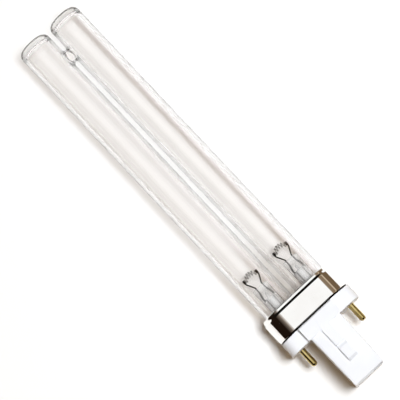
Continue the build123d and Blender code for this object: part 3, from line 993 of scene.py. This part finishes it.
def make_pins():
    head_top = FLOOR_THICKNESS + PIN_HEAD
    tip = PIN_RADIUS - PIN_TIP, -PIN_LENGTH + PIN_TIP
    section = [
        (0.0, -PIN_LENGTH),
        *arc_points(tip, PIN_TIP, -90, 0, 12),
        (PIN_RADIUS, -PIN_NECK),
        (PIN_RADIUS + PIN_NECK_FLARE, 0.0),
        (PIN_SHANK_RADIUS, 0.0),
        (PIN_SHANK_RADIUS, FLOOR_THICKNESS),
        (PIN_HEAD_RADIUS, FLOOR_THICKNESS),
        (PIN_HEAD_RADIUS, head_top - PIN_CHAMFER),
        (PIN_HEAD_RADIUS - PIN_CHAMFER, head_top),
        (PIN_BORE, head_top),
        (PIN_BORE, PIN_LEAD_END),
        (0.0, PIN_LEAD_END),
    ]
    for hand, side in SIDES.items():
        bm = bmesh.new()
        skin(bm, [round_ring(side * PIN_X, radius, height, PIN_POINTS)
                  for radius, height in section])
        mesh = finished_mesh(bm, METAL_SHARP)
        put_in_place(f"{hand}_brass_pin", mesh, PIN_BRASS, "pin_brass", f"{hand}_contact_pin")


# Pieces that stay as their CAD solids
def dress_inner_pieces():
    finishes = {
        "basing_cement": CEMENT,
        "starter_bottle": STARTER_GLASS,
        "suppressor_capacitor": CAPACITOR_DIP,
        "left_capacitor_lead": LEAD_WIRE,
        "right_capacitor_lead": LEAD_WIRE,
    }
    for name, finish in finishes.items():
        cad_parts[name].material_slots[0].material = finish


# Camera at the photograph's angle: the image is 400 by 400
AIM = Vector((-1.45, -1.54, 9.0)) * MM
DISTANCE = 1.0
AZIMUTH, ELEVATION, ROLL = radians(-9.3), radians(83.85), radians(-33.9)
LENS = 257.94
SENSOR = 36.0


def make_camera():
    back = Vector((cos(ELEVATION) * cos(AZIMUTH), cos(ELEVATION) * sin(AZIMUTH), sin(ELEVATION)))
    flat_right = Vector((-sin(AZIMUTH), cos(AZIMUTH), 0.0))
    flat_up = back.cross(flat_right)
    right = cos(ROLL) * flat_right + sin(ROLL) * flat_up
    up = -sin(ROLL) * flat_right + cos(ROLL) * flat_up
    data = bpy.data.cameras.new("camera")
    data.lens = LENS
    data.sensor_width = SENSOR
    data.clip_start = 0.01
    data.clip_end = 20.0
    camera = new_object("camera", data)
    turned = Matrix((right, up, back)).transposed().to_4x4()
    camera.matrix_world = Matrix.Translation(AIM + DISTANCE * back) @ turned
    bpy.context.scene.camera = camera


# Studio: white floor and surroundings, one soft lamp, and cards that only gloss and glass see
WHITE = (1.0, 1.0, 1.0, 1.0)
FLOOR_HALF = 2.5
FLOOR_TONE = (0.95, 0.945, 0.94, 1.0)
FLOOR_BOUNCE = (0.5, 0.38, 0.25, 1.0)
FLOOR_GLOW = (1.0, 0.7, 0.4, 1.0)
FLOOR_GLOW_LEVEL = 0.05
AMBIENT_TONE = (1.0, 0.72, 0.45, 1.0)
AMBIENT_LEVEL = 0.12
CARD_REACH = 0.6
LAMP_SIZE = 0.34
LAMP_PLACE = Vector((0.15, 0.265, 1.13))


def seen_directly(tree, place):
    """Factor of 1 for rays seen straight, in gloss or through glass, until they light a surface."""
    x, y = place
    path = add_node(tree, "ShaderNodeLightPath", place)
    seen = calculate(tree, "MAXIMUM", (x + 200, y), path.outputs["Is Camera Ray"],
                     path.outputs["Is Glossy Ray"])
    seen = calculate(tree, "MAXIMUM", (x + 400, y), seen, path.outputs["Is Transmission Ray"])
    unlit = calculate(tree, "LESS_THAN", (x + 400, y - 200), path.outputs["Diffuse Depth"], 0.5)
    return calculate(tree, "MULTIPLY", (x + 600, y), seen, unlit)


def bare_finish(name):
    """Material whose tree holds only its output."""
    finish = bpy.data.materials.new(name)
    finish.use_nodes = True
    tree = finish.node_tree
    tree.nodes.remove(tree.nodes["Principled BSDF"])
    return finish, tree, tree.nodes["Material Output"].inputs["Surface"]


def flat_piece(name, corners, finish):
    mesh = bpy.data.meshes.new(name)
    mesh.from_pydata(corners, [], [(0, 1, 2, 3)])
    mesh.materials.append(finish)
    piece = new_object(name, mesh)
    return piece


def make_floor():
    """White floor that sends warm light back, with a faint warm glow where it is seen."""
    finish, tree, surface = bare_finish("pale_floor")
    path = add_node(tree, "ShaderNodeLightPath", (-500, 300))
    matt = add_node(tree, "ShaderNodeBsdfDiffuse", (0, 100))
    glow = add_node(tree, "ShaderNodeEmission", (0, -100))
    glow.inputs["Color"].default_value = FLOOR_GLOW
    both = add_node(tree, "ShaderNodeAddShader", (250, 0))
    level = calculate(tree, "MULTIPLY", (-200, -100), seen_directly(tree, (-900, -100)),
                      FLOOR_GLOW_LEVEL)
    link = tree.links.new
    link(blend_colours(tree, path.outputs["Is Diffuse Ray"], FLOOR_TONE, FLOOR_BOUNCE, (-250, 300)),
         matt.inputs["Color"])
    link(level, glow.inputs["Strength"])
    link(matt.outputs[0], both.inputs[0])
    link(glow.outputs[0], both.inputs[1])
    link(both.outputs[0], surface)
    signs = ((-1, -1), (1, -1), (1, 1), (-1, 1))
    flat_piece("floor", [(x * FLOOR_HALF, y * FLOOR_HALF, 0) for x, y in signs], finish)


def make_card(name, first, second, tall, bands, through_glass):
    """Card beside the set with bands of colour up its height, for gloss only or for glass too."""
    finish, tree, surface = bare_finish(name)
    parts = object_parts(tree, (-800, 0))
    share = calculate(tree, "DIVIDE", (-400, 0), parts.outputs["Z"], tall)
    ramp = add_node(tree, "ShaderNodeValToRGB", (-200, 0))
    elements = ramp.color_ramp.elements
    while len(elements) < len(bands):
        elements.new(0.5)
    for element, (height, colour) in zip(elements, bands):
        element.position = height / tall
        element.color = colour
    glow = add_node(tree, "ShaderNodeEmission", (100, 0))
    tree.links.new(share, ramp.inputs[0])
    tree.links.new(ramp.outputs["Color"], glow.inputs["Color"])
    tree.links.new(glow.outputs[0], surface)
    corners = [(*first, 0.0), (*second, 0.0), (*second, tall), (*first, tall)]
    card = flat_piece(name, corners, finish)
    card.visible_transmission = through_glass
    card.visible_camera = False
    card.visible_diffuse = False
    card.visible_shadow = False


def make_cards():
    dark, black = tone(30, 19, 13), tone(16, 13, 11)
    brown, tan = tone(112, 92, 70), tone(205, 188, 162)
    left = ((0.0, dark), (0.6, dark), (1.1, tone(120, 108, 98)), (1.6, tone(200, 192, 185)),
            (2.2, WHITE))
    right = ((0.0, brown), (0.31, brown), (0.35, tan), (0.38, tan), (0.44, tone(130, 110, 88)),
             (0.74, tone(140, 122, 102)), (0.84, WHITE))
    ends = ((0.0, black), (1.0, black))
    low, high = -CARD_REACH, CARD_REACH
    make_card("card_left", (low, low), (high, low), 2.2, left, True)
    make_card("card_right", (low, high), (high, high), 0.84, right, True)
    make_card("card_front", (high, low), (high, high), 1.6, ends, False)
    make_card("card_back", (low, low), (low, high), 1.0, ends, False)


def make_lamp():
    data = bpy.data.lights.new("soft_lamp", "AREA")
    data.shape = "RECTANGLE"
    data.size = LAMP_SIZE
    data.size_y = LAMP_SIZE
    data.energy = 15.0
    data.color = (0.93, 0.965, 1.0)
    lamp = new_object("soft_lamp", data)
    lamp.visible_transmission = False
    lamp.visible_glossy = False
    lamp.location = LAMP_PLACE
    lamp.rotation_euler = LAMP_PLACE.to_track_quat("Z", "Y").to_euler()


def make_world():
    """White where it is seen, and a dim warm light on the surfaces."""
    world = bpy.data.worlds.new("studio")
    bpy.context.scene.world = world
    world.use_nodes = True
    tree = world.node_tree
    tree.nodes.clear()
    output = add_node(tree, "ShaderNodeOutputWorld", (600, 0))
    shown = add_node(tree, "ShaderNodeBackground", (100, -100))
    shown.inputs["Color"].default_value = WHITE
    ambient = add_node(tree, "ShaderNodeBackground", (100, 100))
    ambient.inputs["Color"].default_value = AMBIENT_TONE
    ambient.inputs["Strength"].default_value = AMBIENT_LEVEL
    mixed = add_node(tree, "ShaderNodeMixShader", (350, 0))
    tree.links.new(seen_directly(tree, (-700, 300)), mixed.inputs[0])
    tree.links.new(ambient.outputs[0], mixed.inputs[1])
    tree.links.new(shown.outputs[0], mixed.inputs[2])
    tree.links.new(mixed.outputs[0], output.inputs["Surface"])


def main():
    make_camera()
    make_world()
    make_floor()
    make_cards()
    make_lamp()
    make_envelope()
    for hand, side in SIDES.items():
        make_stem(hand, side)
    make_leads()
    make_filaments()
    make_cap()
    make_base()
    make_pins()
    dress_inner_pieces()
    bpy.context.scene.view_settings.view_transform = "Standard"


main()
